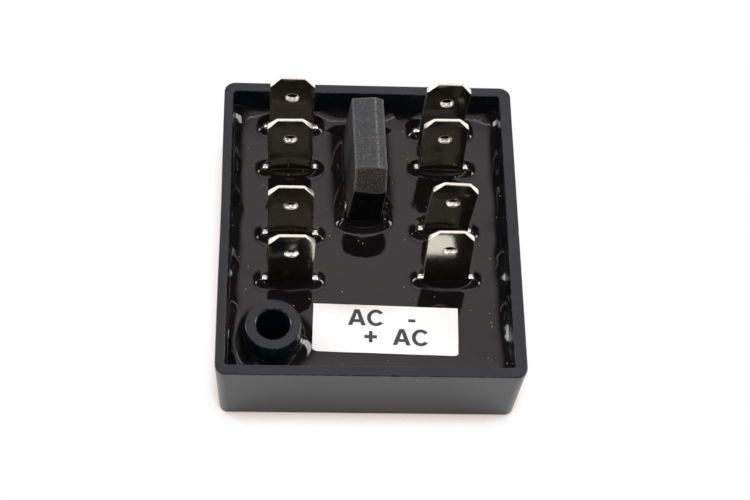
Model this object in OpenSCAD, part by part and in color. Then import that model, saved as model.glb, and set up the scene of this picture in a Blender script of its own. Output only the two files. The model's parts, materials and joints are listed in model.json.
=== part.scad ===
// Potted bridge rectifier module. An open moulded tray holds a small circuit board that
// carries a single-in-line bridge and four double push-on terminals, and black resin
// covers the board. A tube moulded into one corner takes the fixing screw.
// The origin is the centre of the tray's underside. +Z is up, and -Y is the label side.

/* [Tray] */
// Width of the tray at its rim, along X
case_w = 42; // [41:0.5:50]
// Depth of the tray at its rim, along Y
case_d = 47.2; // [46.6:0.1:56]
// Height of the tray
case_h = 13.3; // [12.6:0.1:16]
// Thickness of the side walls at the rim
wall = 1.5; // [1.2:0.1:2]
// Thickness of the floor
floor_t = 1.6; // [1.2:0.1:2.4]
// How far each outer wall leans in from the rim to the floor
draft = 0.4; // [0.2:0.05:0.6]
// How far each wall of the cavity leans in from the rim to the floor
cavity_draft = 0.25; // [0.1:0.05:0.4]
// Radius of the upright outer corners at the rim
corner_r = 1.6; // [1.4:0.1:3]
// Radius of the upright corners of the cavity at its floor
cavity_r = 0.15; // [0.1:0.05:0.8]
// Rounding of the lower outer edge
foot_r = 0.4; // [0.2:0.05:0.4]

/* [Mounting tube] */
// Distance of the tube's axis from the rim's outer side, along X
tube_inset_x = 7.7; // [7.5:0.1:8.5]
// Distance of the tube's axis from the rim's outer side, along Y
tube_inset_y = 7.6; // [7.4:0.1:8.5]
// Outer diameter of the tube at its top
tube_d = 7.6; // [7:0.1:8]
// Diameter of the screw hole
hole_d = 4.5; // [3.4:0.1:5]
// How much the tube's radius grows down to the floor
tube_draft = 0.2; // [0:0.05:0.4]
// Chamfer at both mouths of the screw hole
hole_chamfer = 0.25; // [0.1:0.05:0.4]

/* [Board] */
// Thickness of the circuit board
board_t = 1.6; // [1.2:0.2:1.6]
// Height of the posts that carry the board, above the floor
post_h = 2; // [1.8:0.1:2.4]
// Diameter of the posts at their top
post_d = 4; // [3:0.2:5]
// Distance of each post's axis from the walls of the cavity
post_inset = 3.2; // [2.8:0.1:3.6]
// Gap between the board and what stands beside it
board_gap = 0.4; // [0.3:0.05:0.6]
// Thickness of the copper
copper_t = 0.07; // [0.07:0.035:0.21]
// Width of the copper tracks
track_w = 3; // [2.8:0.1:3.4]
// How far the solder joints reach below the copper
solder_h = 0.9; // [0.7:0.1:1.2]
// Gap round each pin in its plated hole
pin_gap = 0.2; // [0.15:0.05:0.3]
// Thickness of the solder below the pins' ends
pin_cover = 0.15; // [0.1:0.05:0.3]

/* [Terminals] */
// Width of the push-on blades
blade_w = 6.35; // [6.2:0.05:6.5]
// Thickness of the terminal sheet
blade_t = 0.8; // [0.8:0.05:0.9]
// Height of the blades' tips above the board
blade_h = 15.8; // [14.5:0.1:17]
// Width of the foot and its shoulders
shoulder_w = 8; // [7.4:0.1:8.4]
// Height of the shoulders above the board
shoulder_h = 3.55; // [3.4:0.05:4]
// Cut-off at the blades' top corners, across the blade
tip_cut_x = 1.35; // [1:0.05:1.6]
// Cut-off at the blades' top corners, along the blade
tip_cut_z = 1.7; // [1.2:0.05:2]
// Thickness of the coined tip
tip_t = 0.45; // [0.35:0.05:0.6]
// Height of the coined bevel
coin_h = 1.3; // [0.8:0.1:1.6]
// Diameter of the detent hole
detent_d = 1.9; // [1.6:0.1:2.2]
// Distance of the detent hole from the tip
detent_drop = 4.3; // [4:0.1:4.6]
// Inside radius of the bends
bend_r = 0.4; // [0.3:0.05:0.6]
// Width of the solder legs
leg_w = 2; // [1.4:0.1:2.2]
// Distance of the left terminals' centres from the rim's outer side
left_inset = 9.8; // [9.5:0.05:10]
// Distance of the right terminals' centres from the rim's outer side
right_inset = 10.15; // [9.9:0.05:10.3]
// Distance of the rear terminals' centres from the rim's outer rear side
rear_inset = 8.1; // [7.9:0.05:8.2]
// Distance of the front terminals' centres from the rim's outer front side
front_inset = 21.1; // [21:0.05:21.3]
// Usual distance between a terminal's two blades
blade_span = 7.1; // [6.8:0.05:7.4]

/* [Bridge] */
// Length of the bridge's body, along Y
bridge_l = 14.6; // [14:0.1:15.2]
// Thickness of the body at its top
bridge_top_t = 4.6; // [4.2:0.1:4.8]
// Thickness of the body at its foot
bridge_foot_t = 5; // [4.6:0.1:5.4]
// Height of the body
bridge_h = 11.6; // [11:0.1:12]
// Height of the body's foot above the board
bridge_gap = 2; // [1.6:0.1:2.4]
// Cut-off at the corner that marks the plus end
bridge_cut = 2.75; // [2:0.05:3]
// How far the ends and the top stand out at the parting line
parting_rise = 0.2; // [0.1:0.05:0.4]
// Place of the parting line, as a share of the thickness
parting_at = 0.73; // [0.6:0.01:0.8]
// Place of the body's foot, across the tray
bridge_x = -0.95; // [-1.1:0.05:0]
// Distance of the body's foot from the rim's outer rear side, at its middle
bridge_inset = 13.15; // [12.8:0.05:13.5]
// Lean of the body towards +X, in degrees
bridge_lean = 4; // [0:0.5:5]
// Turn of the body seen from above, in degrees
bridge_turn = 2; // [-2:0.5:3]
// Distance between neighbouring leads
lead_pitch = 3.81; // [3.75:0.01:3.9]
// Diameter of the leads
lead_d = 0.8; // [0.7:0.05:0.9]
// How far the leads are rooted in the body
lead_root = 2; // [1:0.25:3]

/* [Resin and label] */
// Depth of the resin's surface below the rim
resin_drop = 4.9; // [4.7:0.05:5.2]
// How far the resin climbs the walls
wall_climb = 1.1; // [0.8:0.05:1.3]
// How far the resin climbs the mounting tube
tube_climb = 1.35; // [1:0.05:1.4]
// How far the resin climbs the terminals
blade_climb = 0.9; // [0.6:0.05:1]
// How far the resin climbs the bridge
bridge_climb = 1.2; // [0.8:0.05:1.3]
// Width of the label
label_w = 20.2; // [16:0.1:20.4]
// Depth of the label
label_d = 7.4; // [6:0.1:7.6]
// Thickness of the label
label_t = 0.12; // [0.1:0.01:0.2]
// Radius of the label's corners
label_r = 0.5; // [0.3:0.1:1]
// Gap between the label and the resin drawn up round the mounting tube
label_gap = 0.3; // [0.25:0.05:0.8]
// Distance of the label's centre from the rim's outer front side
label_inset = 9.4; // [8.6:0.05:9.8]
// Turn of the label seen from above, in degrees
label_turn = -1.4; // [-2:0.1:1]

/* [Hidden] */
$fn = 64;
// Overshoot of cutting shapes
eps = 0.5;

// Levels above the tray's underside
board_z = floor_t + post_h;
board_top = board_z + board_t;
resin_z = case_h - resin_drop;
solder_z = board_z - copper_t - solder_h;
pin_end_z = solder_z + pin_cover;

// The cavity and the tube
cavity_w = case_w - 2 * wall;
cavity_d = case_d - 2 * wall;
function cavity_lean(z) = cavity_draft * (case_h - z) / (case_h - floor_t);
tube_x = tube_inset_x - case_w / 2;
tube_y = tube_inset_y - case_d / 2;
tube_foot_d = tube_d + 2 * tube_draft;
// How much the posts widen down to the floor, and how far the tube's collar bears the board
post_taper = 0.4;
collar_ledge = 2;
collar_d = tube_foot_d + 2 * board_gap + collar_ledge;

// The board clears the cavity where the walls lean in the most
board_w = cavity_w - 2 * cavity_draft - 2 * board_gap;
board_d = cavity_d - 2 * cavity_draft - 2 * board_gap;
notch_r = tube_foot_d / 2 + board_gap;

// Each terminal: centre x, centre y, distance between its blades, then the lean back,
// the lean to the right and the turn, in degrees, of the rear and of the front blade.
// They were pushed in and bent by hand, so each sits a little off its nominal place.
left_x = left_inset - case_w / 2;
right_x = case_w / 2 - right_inset;
rear_y = case_d / 2 - rear_inset;
front_y = front_inset - case_d / 2;
TERMINALS = [
  ["plus", left_x + 0.07, front_y - 0.3, blade_span + 0.2, [0.8, 0, 0], [-0.8, 0.9, 0.9]],
  ["minus", right_x - 0.02, rear_y + 0.05, blade_span - 0.75, [-0.3, 1.9, 0.6], [0.5, -0.9, 0]],
  ["ac_left", left_x - 0.03, rear_y, blade_span - 0.05, [0.3, 0.6, 0], [0, -0.8, 0.7]],
  ["ac_right", right_x + 0.05, front_y + 0.4, blade_span + 0.65, [0.8, 3, -0.5], [1.3, -1, 0]]];
function terminal(name) = TERMINALS[search([name], TERMINALS)[0]];
leg_x = shoulder_w / 2 - blade_t / 2;
// The blades start at the top of the bends. Their root reaches a little into the bend.
foot_lift = blade_t + bend_r;
blade_root = 0.25;

// The bridge's leads from front to rear, and each one's place along the body
LEADS = ["plus", "ac_front", "ac_rear", "minus"];
function lead_at(name) = (search([name], LEADS)[0] - (len(LEADS) - 1) / 2) * lead_pitch;
// Where a lead passes through the middle of the board
lead_drop = bridge_gap + board_t / 2;
bridge_y = case_d / 2 - bridge_inset;
function lead_point(name) = [
  bridge_x - lead_drop * tan(bridge_lean) * cos(bridge_turn) - lead_at(name) * sin(bridge_turn),
  bridge_y - lead_drop * tan(bridge_lean) * sin(bridge_turn) + lead_at(name) * cos(bridge_turn)];

// Each circuit: the terminal, the lead it goes to, and the leg where its track turns
CIRCUITS = [["plus", "plus", 1], ["minus", "minus", -1],
  ["ac_left", "ac_rear", 1], ["ac_right", "ac_front", -1]];

label_x = tube_x + tube_d / 2 + tube_climb + label_gap + label_w / 2;
label_y = label_inset - case_d / 2;
// How far the centre of the resin's hollow lies from the wall that it climbs, in climbs
climb_bow = 1.35;

// A box that narrows downwards, with round upright corners, from z0 up to z1. Its size and
// corner radius are given at z1, and every side leans in by lean at z0.
module drafted_box(w, d, r, lean, z0, z1) {
  h = z1 - z0;
  for (turned = [false, true]) {
    across = turned ? d : w;
    along = turned ? w : d;
    rotate([0, 0, turned ? 90 : 0])
      translate([0, along / 2 - r, z0])
        rotate([90, 0, 0])
          linear_extrude(along - 2 * r)
            polygon([[lean - across / 2, 0], [across / 2 - lean, 0], [across / 2, h], [-across / 2, h]]);
  }
  for (x = [-1, 1], y = [-1, 1])
    translate([x * (w / 2 - r), y * (d / 2 - r), z0])
      cylinder(h = h, r1 = r - lean, r2 = r);
}

// The tray's outside: two prisms across each other, and a turned solid in each corner
module case_outside() {
  for (turned = [false, true]) {
    across = turned ? case_d : case_w;
    along = (turned ? case_w : case_d) - 2 * corner_r;
    rotate([0, 0, turned ? 90 : 0]) translate([0, along / 2, 0]) rotate([90, 0, 0])
      linear_extrude(along) {
        wall_section(across / 2);
        mirror([1, 0]) wall_section(across / 2);
      }
  }
  for (x = [-1, 1], y = [-1, 1])
    translate([x * (case_w / 2 - corner_r), y * (case_d / 2 - corner_r), 0])
      rotate_extrude() wall_section(corner_r);
}

// Half of the tray's upright section, which reaches out to half at the rim
module wall_section(half) {
  foot = half - draft * (1 - foot_r / case_h);
  polygon([[0, 0], [foot - foot_r, 0], [foot - foot_r, foot_r], [foot, foot_r], [half, case_h],
    [0, case_h]]);
  translate([foot - foot_r, foot_r]) intersection() {
    circle(foot_r);
    translate([0, -foot_r]) square(foot_r);
  }
}

// The space inside the walls, between two heights
module cavity(from, to) {
  narrow = cavity_lean(to);
  drafted_box(cavity_w - 2 * narrow, cavity_d - 2 * narrow, cavity_r + cavity_draft - narrow,
    cavity_lean(from) - narrow, from, to);
}

module posts() {
  x0 = cavity_w / 2 - post_inset;
  y0 = cavity_d / 2 - post_inset;
  for (at = [[-x0, y0], [x0, y0], [x0, -y0]])
    translate([at[0], at[1], floor_t]) cylinder(h = post_h, d1 = post_d + post_taper, d2 = post_d);
  translate([tube_x, tube_y, floor_t]) cylinder(h = post_h, d = collar_d);
}

module tube() {
  translate([tube_x, tube_y, floor_t])
    cylinder(h = case_h - floor_t, d1 = tube_foot_d, d2 = tube_d);
}

module screw_hole() {
  translate([tube_x, tube_y, -eps]) cylinder(h = case_h + 2 * eps, d = hole_d);
  translate([tube_x, tube_y, 0]) mouth();
  translate([tube_x, tube_y, case_h]) mirror([0, 0, 1]) mouth();
}

// A chamfer that opens downwards at z = 0
module mouth() {
  translate([0, 0, -eps])
    cylinder(h = eps + hole_chamfer, r1 = hole_d / 2 + hole_chamfer + eps, r2 = hole_d / 2);
}

module case() {
  color([0.09, 0.09, 0.1]) difference() {
    union() {
      difference() {
        case_outside();
        cavity(floor_t, case_h + eps);
      }
      posts();
      tube();
    }
    screw_hole();
  }
}

// The board without its holes, notched round the mounting tube
module board_blank() {
  difference() {
    translate([-board_w / 2, -board_d / 2, board_z]) cube([board_w, board_d, board_t]);
    translate([tube_x, tube_y, board_z - eps]) {
      cylinder(h = board_t + 2 * eps, r = notch_r);
      translate([-case_w, -case_d, 0]) cube([case_w, case_d + notch_r, board_t + 2 * eps]);
      translate([-case_w, -case_d, 0]) cube([case_w + notch_r, case_d, board_t + 2 * eps]);
    }
  }
}

module circuit_board() {
  color([0.1, 0.35, 0.2]) difference() {
    board_blank();
    for (t = TERMINALS) leg_slots(t);
    for (name = LEADS) lead_bore(name);
  }
}

// The slots in the board for a terminal's two legs
module leg_slots(t) {
  for (x = [-leg_x, leg_x])
    translate([t[1] + x - blade_t / 2 - pin_gap, t[2] - leg_w / 2 - pin_gap, board_z - eps])
      cube([blade_t + 2 * pin_gap, leg_w + 2 * pin_gap, board_t + 2 * eps]);
}

module lead_bore(name) {
  p = lead_point(name);
  translate([p[0], p[1], board_z - eps])
    cylinder(h = board_t + 2 * eps, d = lead_d + 2 * pin_gap);
}

// A track on the board's underside: a bar under the terminal, then a corner at one of the
// terminal's legs, on the side given, and a bar to the lead
module track_sheet(t, lead, side) {
  p = lead_point(lead);
  knee = [t[1] + side * leg_x, p[1]];
  translate([0, 0, board_z - copper_t]) linear_extrude(copper_t) {
    translate([t[1] - leg_x, t[2] - track_w / 2]) square([2 * leg_x, track_w]);
    for (x = [-leg_x, leg_x]) translate([t[1] + x, t[2]]) circle(d = track_w);
    translate([knee[0] - track_w / 2, min(knee[1], t[2])])
      square([track_w, abs(t[2] - knee[1])]);
    translate(knee) circle(d = track_w);
    translate([min(knee[0], p[0]), p[1] - track_w / 2])
      square([abs(knee[0] - p[0]), track_w]);
    translate(p) circle(d = track_w);
  }
}

module track(name, lead, side) {
  t = terminal(name);
  color([0.85, 0.5, 0.3]) difference() {
    track_sheet(t, lead, side);
    leg_slots(t);
    lead_bore(lead);
  }
}

// The solder of one track: it fills the plated holes and makes a cone below each
module solder_shape(t, lead) {
  p = lead_point(lead);
  depth = board_t + copper_t;
  for (x = [-leg_x, leg_x]) translate([t[1] + x, t[2], 0]) {
    translate([-blade_t / 2 - pin_gap, -leg_w / 2 - pin_gap, board_z - copper_t])
      cube([blade_t + 2 * pin_gap, leg_w + 2 * pin_gap, depth]);
    translate([0, 0, solder_z])
      cylinder(h = solder_h, r1 = leg_w / 2 + pin_gap, r2 = track_w / 2 - pin_gap / 2);
  }
  translate([p[0], p[1], board_z - copper_t]) cylinder(h = depth, d = lead_d + 2 * pin_gap);
  translate([p[0], p[1], solder_z])
    cylinder(h = solder_h, r1 = lead_d / 2 + pin_gap, r2 = track_w / 2 - pin_gap);
}

module solder(name, lead) {
  color([0.75, 0.75, 0.75]) difference() {
    solder_shape(terminal(name), lead);
    terminal_shape(terminal(name));
    lead_shape(lead);
  }
}

// A blade with its shoulders, standing on z = 0 at the middle of its thickness
module blade() {
  difference() {
    intersection() {
      rotate([90, 0, 0]) linear_extrude(blade_t, center = true) blade_face();
      rotate([90, 0, 90]) linear_extrude(shoulder_w + 2 * eps, center = true) blade_edge();
    }
    translate([0, 0, blade_h - foot_lift - detent_drop]) rotate([90, 0, 0])
      cylinder(h = 2 * blade_t, d = detent_d, center = true);
  }
}

module blade_face() {
  top = blade_h - foot_lift;
  half = blade_w / 2;
  polygon([[-shoulder_w / 2, -blade_root], [shoulder_w / 2, -blade_root],
    [shoulder_w / 2, shoulder_h - foot_lift], [half, shoulder_h - foot_lift],
    [half, top - tip_cut_z], [half - tip_cut_x, top], [tip_cut_x - half, top],
    [-half, top - tip_cut_z],
    [-half, shoulder_h - foot_lift], [-shoulder_w / 2, shoulder_h - foot_lift]]);
}

module blade_edge() {
  top = blade_h - foot_lift;
  polygon([[-blade_t / 2, -blade_root], [blade_t / 2, -blade_root], [blade_t / 2, top - coin_h],
    [tip_t / 2, top], [-tip_t / 2, top], [-blade_t / 2, top - coin_h]]);
}

// A double terminal's folded sheet: a foot on the board, two bends and two blades
module terminal_sheet(t) {
  span = t[3];
  flat = span - blade_t - 2 * bend_r;
  translate([t[1], t[2], board_top]) {
    translate([-shoulder_w / 2, -flat / 2, 0]) cube([shoulder_w, flat, blade_t]);
    for (side = [-1, 1]) {
      set = side > 0 ? t[4] : t[5];
      translate([0, side * flat / 2, foot_lift]) mirror([0, side < 0 ? 1 : 0, 0]) bend();
      translate([0, side * span / 2, foot_lift]) rotate([-set[0], set[1], set[2]]) blade();
    }
  }
}

// The sheet with its two solder legs
module terminal_shape(t) {
  terminal_sheet(t);
  for (side = [-1, 1])
    translate([t[1] + side * leg_x - blade_t / 2, t[2] - leg_w / 2, pin_end_z])
      cube([blade_t, leg_w, board_top - pin_end_z + blade_t / 2]);
}

// A quarter bend from the foot up into a blade on the +Y side
module bend() {
  rotate([0, 90, 0]) translate([0, 0, -shoulder_w / 2])
    rotate_extrude(angle = 90) translate([bend_r, 0]) square([blade_t, shoulder_w]);
}

module terminal_node(name) {
  color([0.82, 0.8, 0.75]) terminal_shape(terminal(name));
}

// Places the bridge's own frame: its foot at z = 0, its length along Y
module at_bridge() {
  translate([bridge_x, bridge_y, board_top + bridge_gap])
    rotate([0, bridge_lean, bridge_turn]) children();
}

module bridge_shape() {
  half = bridge_l / 2;
  seam = (parting_at - 0.5) * bridge_top_t;
  wide = bridge_foot_t / 2;
  at_bridge() intersection() {
    translate([0, half, 0]) rotate([90, 0, 0]) linear_extrude(bridge_l)
      polygon([[-wide, 0], [wide, 0], [bridge_top_t / 2, bridge_h - parting_rise],
        [seam, bridge_h], [-bridge_top_t / 2, bridge_h - parting_rise]]);
    linear_extrude(bridge_h)
      polygon([[-wide, parting_rise - half], [seam, -half], [wide, parting_rise - half],
        [wide, half - parting_rise], [seam, half], [-wide, half - parting_rise]]);
    rotate([90, 0, 90]) linear_extrude(2 * bridge_foot_t, center = true)
      polygon([[-half, 0], [half, 0], [half, bridge_h], [bridge_cut - half, bridge_h],
        [-half, bridge_h - bridge_cut]]);
  }
}

module bridge_body() {
  color([0.17, 0.17, 0.18]) difference() {
    bridge_shape();
    for (name = LEADS) lead_shape(name);
  }
}

// A lead, from its root in the body down into its solder joint
module lead_shape(name) {
  reach = board_top + bridge_gap - pin_end_z;
  lead_wire(name, -reach, lead_root);
}

// The stretch of a lead between two heights above the body's foot
module lead_wire(name, from, to) {
  at_bridge() translate([0, lead_at(name), from]) cylinder(h = to - from, d = lead_d);
}

module lead(name) {
  color([0.8, 0.8, 0.8]) lead_shape(name);
}

// The hollow climb of resin against an upright face at x = 0, s high and s wide
module climb_profile(s) {
  centre = climb_bow * s;
  difference() {
    translate([0, -eps]) square([s, s + eps]);
    translate([centre, centre]) circle(norm([centre, centre - s]));
  }
}

// Resin drawn up round a rectangle of w by d
module climb_round(w, d, s) {
  translate([-w / 2, -d / 2, -eps]) cube([w, d, s + eps]);
  for (turn = [0 : 90 : 270]) {
    along = turn % 180 == 0 ? w : d;
    across = turn % 180 == 0 ? d : w;
    rotate([0, 0, turn]) translate([-along / 2, across / 2, 0])
      rotate([90, 0, 90]) linear_extrude(along) climb_profile(s);
    rotate([0, 0, turn]) translate([along / 2, across / 2, 0])
      rotate_extrude(angle = 90) climb_profile(s);
  }
}

// Resin drawn up round a thin blade, w wide and d thick
module climb_blade(w, d, s) {
  straight = w - d;
  translate([-straight / 2, 0, 0]) rotate([90, 0, 90]) linear_extrude(straight) {
    climb_half(d / 2, s);
    mirror([1, 0]) climb_half(d / 2, s);
  }
  for (side = [-1, 1])
    translate([side * straight / 2, 0, 0]) rotate([0, 0, -90 * side])
      rotate_extrude(angle = 180) climb_half(d / 2, s);
}

// Half of a section across something 2 r thick, with the resin that it draws up
module climb_half(r, s) {
  translate([0, -eps]) square([r, s + eps]);
  translate([r, 0]) climb_profile(s);
}

// Resin drawn up along the four walls
module climb_walls() {
  lean = cavity_lean(resin_z);
  for (turn = [0 : 90 : 270]) {
    along = turn % 180 == 0 ? cavity_w : cavity_d;
    across = (turn % 180 == 0 ? cavity_d : cavity_w) / 2 - lean;
    rotate([0, 0, turn]) translate([-along / 2, -across, resin_z])
      rotate([90, 0, 90]) linear_extrude(along) {
        climb_profile(wall_climb);
        translate([-wall, -eps]) square([wall, wall_climb + eps]);
      }
  }
}

// The resin above the board: level, and drawn up along the walls and round what stands in it
module resin_top() {
  intersection() {
    cavity(board_top, case_h);
    union() {
      translate([-case_w / 2, -case_d / 2, 0]) cube([case_w, case_d, resin_z]);
      climb_walls();
    }
  }
  translate([tube_x, tube_y, resin_z]) rotate_extrude() climb_half(tube_d / 2, tube_climb);
  for (t = TERMINALS, side = [-1, 1])
    translate([t[1], t[2] + side * t[3] / 2, resin_z])
      rotate([0, 0, (side > 0 ? t[4] : t[5])[2]]) climb_blade(shoulder_w, blade_t, blade_climb);
  foot_rise = resin_z - board_top - bridge_gap;
  translate([bridge_x + foot_rise * tan(bridge_lean), bridge_y, resin_z])
    rotate([0, 0, bridge_turn])
      climb_round(bridge_foot_t, bridge_l - 2 * parting_rise, bridge_climb);
}

// The solder covers the ends of the pins, so below the board the resin meets only solder
module potting_resin() {
  color([0.05, 0.045, 0.05]) {
    difference() {
      cavity(floor_t, board_top);
      tube();
      posts();
      board_blank();
      for (c = CIRCUITS) {
        track_sheet(terminal(c[0]), c[1], c[2]);
        solder_shape(terminal(c[0]), c[1]);
      }
    }
    difference() {
      resin_top();
      tube();
      for (t = TERMINALS) terminal_sheet(t);
      for (name = LEADS) lead_wire(name, -bridge_gap - eps, eps);
      bridge_shape();
    }
  }
}

module label() {
  color([0.95, 0.95, 0.95]) translate([label_x, label_y, resin_z]) rotate([0, 0, label_turn])
    linear_extrude(label_t) {
      square([label_w - 2 * label_r, label_d], center = true);
      square([label_w, label_d - 2 * label_r], center = true);
      for (x = [-1, 1], y = [-1, 1])
        translate([x * (label_w / 2 - label_r), y * (label_d / 2 - label_r)]) circle(label_r);
    }
}

case();
potting_resin();
circuit_board();
track("plus", "plus", 1);  // track_plus
track("minus", "minus", -1);  // track_minus
track("ac_left", "ac_rear", 1);  // track_ac_left
track("ac_right", "ac_front", -1);  // track_ac_right
solder("plus", "plus");  // solder_plus
solder("minus", "minus");  // solder_minus
solder("ac_left", "ac_rear");  // solder_ac_left
solder("ac_right", "ac_front");  // solder_ac_right
terminal_node("plus");  // terminal_plus
terminal_node("minus");  // terminal_minus
terminal_node("ac_left");  // terminal_ac_left
terminal_node("ac_right");  // terminal_ac_right
bridge_body();
lead("plus");  // lead_plus
lead("ac_front");  // lead_ac_front
lead("ac_rear");  // lead_ac_rear
lead("minus");  // lead_minus
label();
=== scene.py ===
"""Looks of the potted bridge rectifier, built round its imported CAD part.

Sizes and places are in millimetres in the part's own frame, as in part.scad, and turn into metres
where a mesh is made. The lights, the camera and the floor's shading are in metres.
"""

import json
import math

import bmesh
import bpy
import numpy as np
from mathutils import Matrix, Vector

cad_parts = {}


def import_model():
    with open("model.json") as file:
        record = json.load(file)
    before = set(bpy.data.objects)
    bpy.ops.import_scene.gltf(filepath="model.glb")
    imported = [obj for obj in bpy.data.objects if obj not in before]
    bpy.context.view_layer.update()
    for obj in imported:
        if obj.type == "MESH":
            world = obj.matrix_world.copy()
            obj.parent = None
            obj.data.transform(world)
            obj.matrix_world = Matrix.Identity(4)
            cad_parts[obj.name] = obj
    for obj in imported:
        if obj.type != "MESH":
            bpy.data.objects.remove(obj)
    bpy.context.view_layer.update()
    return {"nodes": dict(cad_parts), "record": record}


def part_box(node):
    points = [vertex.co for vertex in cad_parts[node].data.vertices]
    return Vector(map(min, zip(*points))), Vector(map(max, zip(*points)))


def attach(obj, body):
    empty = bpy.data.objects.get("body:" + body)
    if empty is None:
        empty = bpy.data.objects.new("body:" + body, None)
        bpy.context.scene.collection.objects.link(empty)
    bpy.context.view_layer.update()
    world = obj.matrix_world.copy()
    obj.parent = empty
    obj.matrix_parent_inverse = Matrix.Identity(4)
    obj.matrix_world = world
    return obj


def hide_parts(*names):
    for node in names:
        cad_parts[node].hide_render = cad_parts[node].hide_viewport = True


MM = 0.001
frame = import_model()


def box_mm(node):
    low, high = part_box(node)
    return np.array(low) / MM, np.array(high) / MM


RIM_X, RIM_Y, RIM_Z = box_mm("case")[1]
LABEL_LOW, LABEL_HIGH = box_mm("label")
RESIN_Z = LABEL_LOW[2]
BORE = next(m for m in frame["record"]["mounts"] if m["name"] == "screw_hole")
TUBE_AT = tuple(v / MM for v in BORE["pos_m"][:2])

# Sizes that part.scad gives. The blades' heights count from the top of their bends.
WALL = 1.5
FLOOR = 1.6
DRAFT = 0.4
CAVITY_DRAFT = 0.25
CORNER_R = 1.6
CAVITY_R = 0.15
FOOT_R = 0.4
TUBE_R = 3.8
TUBE_FOOT_R = 4.0
HOLE_R = 2.25
BLADE_W = 6.35
BLADE_T = 0.8
BLADE_TOP = 14.6
BLADE_ROOT = 0.25
SHOULDER_W = 8.0
BOARD_TOP = 5.2
FOOT_LIFT = 1.2
TIP_CUT = (1.35, 1.7)
TIP_T = 0.45
COIN_H = 1.3
DETENT_R = 0.95
DETENT_DROP = 4.3
BRIDGE_AT = (-0.95, 10.45)
BRIDGE_LEAN = 4.0
BRIDGE_TURN = 2.0
BRIDGE_FOOT_Z = 7.2
BRIDGE_CUT_AT = 4.55
LABEL_SIZE = (20.2, 7.4)
LABEL_TURN = -1.4

# Each terminal: centre x, centre y, distance between its blades, then the lean back, the lean to
# the right and the turn, in degrees, of the rear and of the front blade
TERMINALS = {
    "plus": (-11.13, -2.8, 7.3, (0.8, 0, 0), (-0.8, 0.9, 0.9)),
    "minus": (10.83, 15.55, 6.35, (-0.3, 1.9, 0.6), (0.5, -0.9, 0)),
    "ac_left": (-11.23, 15.5, 7.05, (0.3, 0.6, 0), (0, -0.8, 0.7)),
    "ac_right": (10.9, -2.1, 7.75, (0.8, 3, -0.5), (1.3, -1, 0)),
}

# The bridge's outline where it comes out of the resin
BRIDGE_SIZE = (4.9, 14.3)

# Small forms that only the looks have. The shoulders stand a little higher than in part.scad.
RIM_EDGE_R = 0.13
TUBE_EDGE_R = 0.15
HOLE_EDGE_R = 0.3
BLADE_EDGE_R = 0.07
BRIDGE_EDGE_R = 0.2
BRIDGE_VOXEL = 0.11
SMALLEST_CORNER_R = 0.12
SHOULDER_TOP = 2.6
CAVITY_SHIFT = 0.17
LEFT_SINK, LEFT_SINK_Y, LEFT_SINK_REACH = 0.1, 2, 9
BACK_SINK = 0.06
# Where the tray's rim is dented, and how far each dent reaches along x, y and z
NICKS = (
    ((2.96, -23.62, 13.32), (0.8, 0.3, 0.22)),
    ((-12.6, -23.62, 13.34), (0.6, 0.2, 0.18)),
    ((21.02, -1.5, 13.34), (0.2, 1.1, 0.25)),
    ((21.02, -5.2, 13.34), (0.14, 0.7, 0.2)),
)


# ---------------------------------------------------------------- helpers


def lattice(x, y, size, seed):
    """Smooth random values from -1 to 1 that change over a distance of size."""
    table = np.random.default_rng(seed).uniform(-1, 1, (64, 64))
    u, v = np.asarray(x) / size + 31.7, np.asarray(y) / size + 17.3
    i, j = np.floor(u).astype(int), np.floor(v).astype(int)
    fu, fv = u - i, v - j
    su, sv = (t * t * t * (t * (t * 6 - 15) + 10) for t in (fu, fv))

    def at(a, b):
        return table[(i + a) % 64, (j + b) % 64]

    low = at(0, 0) * (1 - su) + at(1, 0) * su
    high = at(0, 1) * (1 - su) + at(1, 1) * su
    return low * (1 - sv) + high * sv


def linked(name, mesh, mats=()):
    """A new object in the scene that shows a mesh."""
    obj = bpy.data.objects.new(name, mesh)
    bpy.context.scene.collection.objects.link(obj)
    for m in mats:
        mesh.materials.append(m)
    return obj


def blank(name, verts, faces, mats=()):
    """A new smooth object whose vertices are given in millimetres."""
    mesh = bpy.data.meshes.new(name)
    mesh.from_pydata((np.asarray(verts, float) * MM).tolist(), [], faces)
    obj = linked(name, mesh, mats)
    mesh.shade_smooth()
    return obj


def from_bmesh(name, bm, mats=()):
    """A new object from a bmesh, which is freed."""
    mesh = bpy.data.meshes.new(name)
    bm.to_mesh(mesh)
    bm.free()
    return linked(name, mesh, mats)


def tidy_normals(obj):
    bm = bmesh.new()
    bm.from_mesh(obj.data)
    bmesh.ops.recalc_face_normals(bm, faces=bm.faces)
    bm.to_mesh(obj.data)
    bm.free()


def in_order(bm):
    """Sorts the faces by their vertices: an extrusion leaves them in another order on each run."""
    bm.verts.index_update()
    order = sorted(bm.faces, key=lambda f: sorted(v.index for v in f.verts))
    rank = {f: i for i, f in enumerate(order)}
    bm.faces.sort(key=rank.get)


def applied(obj):
    """Puts the result of an object's modifiers into its mesh."""
    graph = bpy.context.evaluated_depsgraph_get()
    mesh = bpy.data.meshes.new_from_object(obj.evaluated_get(graph))
    obj.modifiers.clear()
    obj.data = mesh
    return obj


def cut(obj, tool, operation):
    m = obj.modifiers.new("cut", "BOOLEAN")
    m.operation, m.object, m.solver = operation, tool, "EXACT"
    applied(obj)
    bpy.data.objects.remove(tool)


def arc(cx, cy, r, a0, a1, steps):
    for k in range(steps + 1):
        a = math.radians(a0 + (a1 - a0) * k / steps)
        yield cx + r * math.cos(a), cy + r * math.sin(a)


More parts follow.
